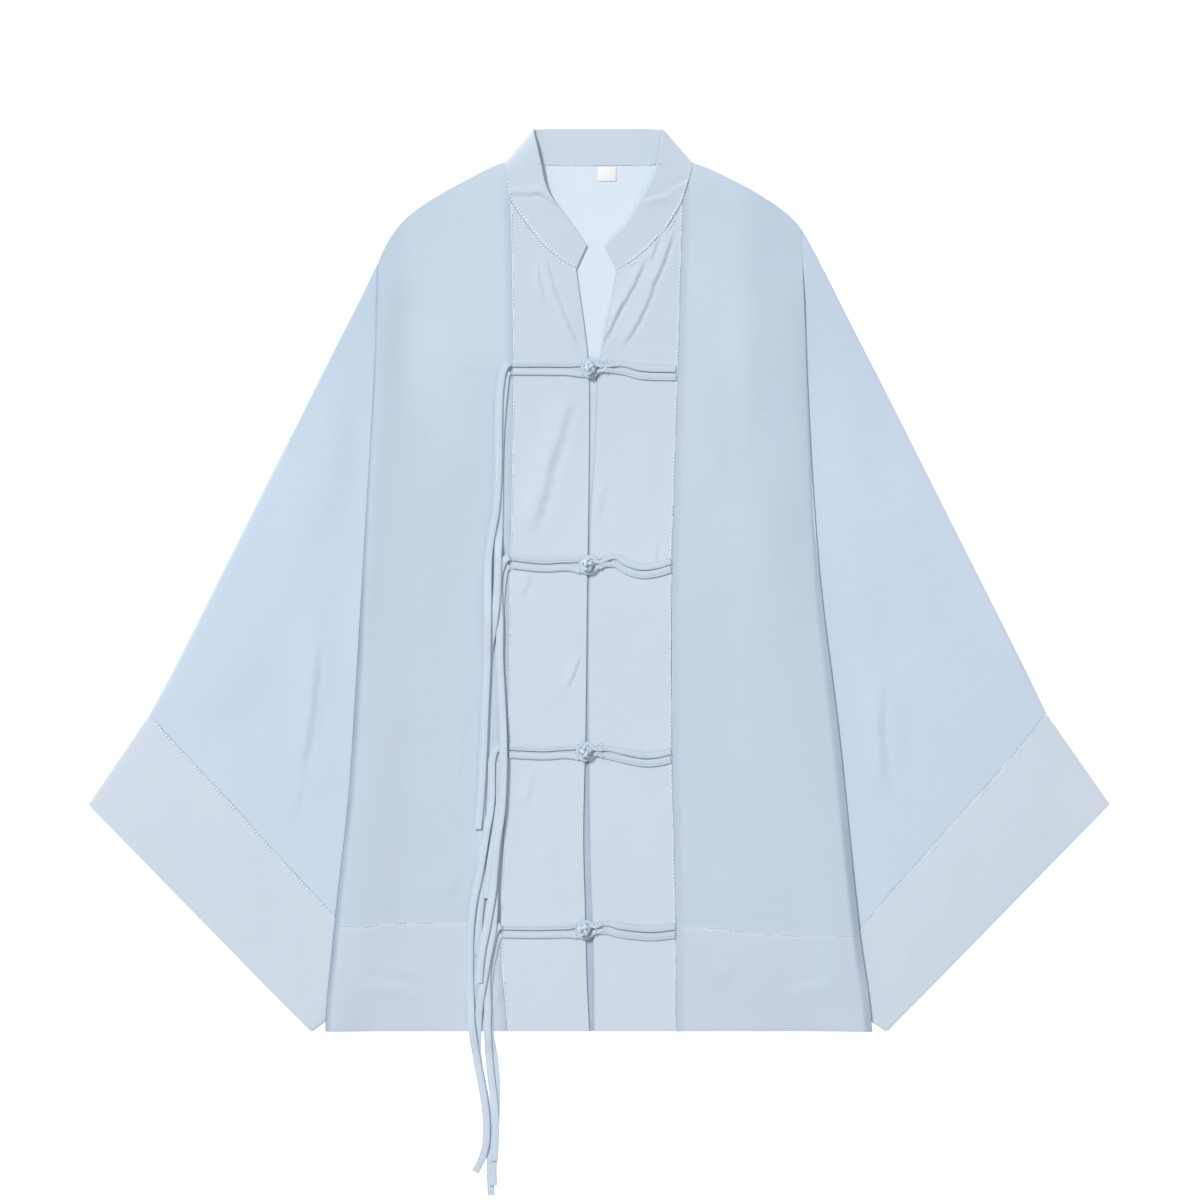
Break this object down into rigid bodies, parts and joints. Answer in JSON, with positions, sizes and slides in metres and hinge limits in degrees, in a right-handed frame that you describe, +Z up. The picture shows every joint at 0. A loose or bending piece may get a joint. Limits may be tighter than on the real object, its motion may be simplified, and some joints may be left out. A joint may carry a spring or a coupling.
{
  "type": "chinese jacket",
  "caption": "Light jacket with stand collar, wide sleeves, deep cuffs, doubled front bands, knotted cord fastenings and long free ties, laid flat on its back.",
  "frame": {"origin": "on the surface the jacket lies on, under the middle of its cloth without the free ties", "axes": "+Z up from the surface, +Y towards the collar, +X towards the wearer's left sleeve"},
  "size_m": [0.8998, 0.9394, 0.0163],
  "materials": {
    "body_cloth": "matte fine plain weave, thin",
    "sleeve_cloth": "matte fine plain weave, thin",
    "band_cloth": "matte fine plain weave, doubled",
    "cuff_cloth": "matte fine plain weave, doubled",
    "cord": "matte folded strips of the same cloth",
    "tie": "matte folded strips of the same cloth",
    "label": "smooth woven tape"
  },
  "bodies": {
    "root": {"back": "body_cloth", "right_front": "body_cloth", "left_front": "body_cloth", "right_front_band": "band_cloth", "left_front_band": "band_cloth", "right_sleeve": "sleeve_cloth", "left_sleeve": "sleeve_cloth", "right_cuff": "cuff_cloth", "left_cuff": "cuff_cloth", "collar": "band_cloth", "button_cord_1": "cord", "button_cord_2": "cord", "button_cord_3": "cord", "button_cord_4": "cord", "loop_cord_1": "cord", "loop_cord_2": "cord", "loop_cord_3": "cord", "loop_cord_4": "cord", "knot_1": "cord", "knot_2": "cord", "knot_3": "cord", "knot_4": "cord", "tie_1_outer": "tie", "tie_1_inner": "tie", "tie_2_outer": "tie", "tie_2_inner": "tie", "tie_3_outer": "tie", "tie_3_inner": "tie", "tie_4_outer": "tie", "tie_4_inner": "tie", "size_label": "label"}
  },
  "joints": []
}
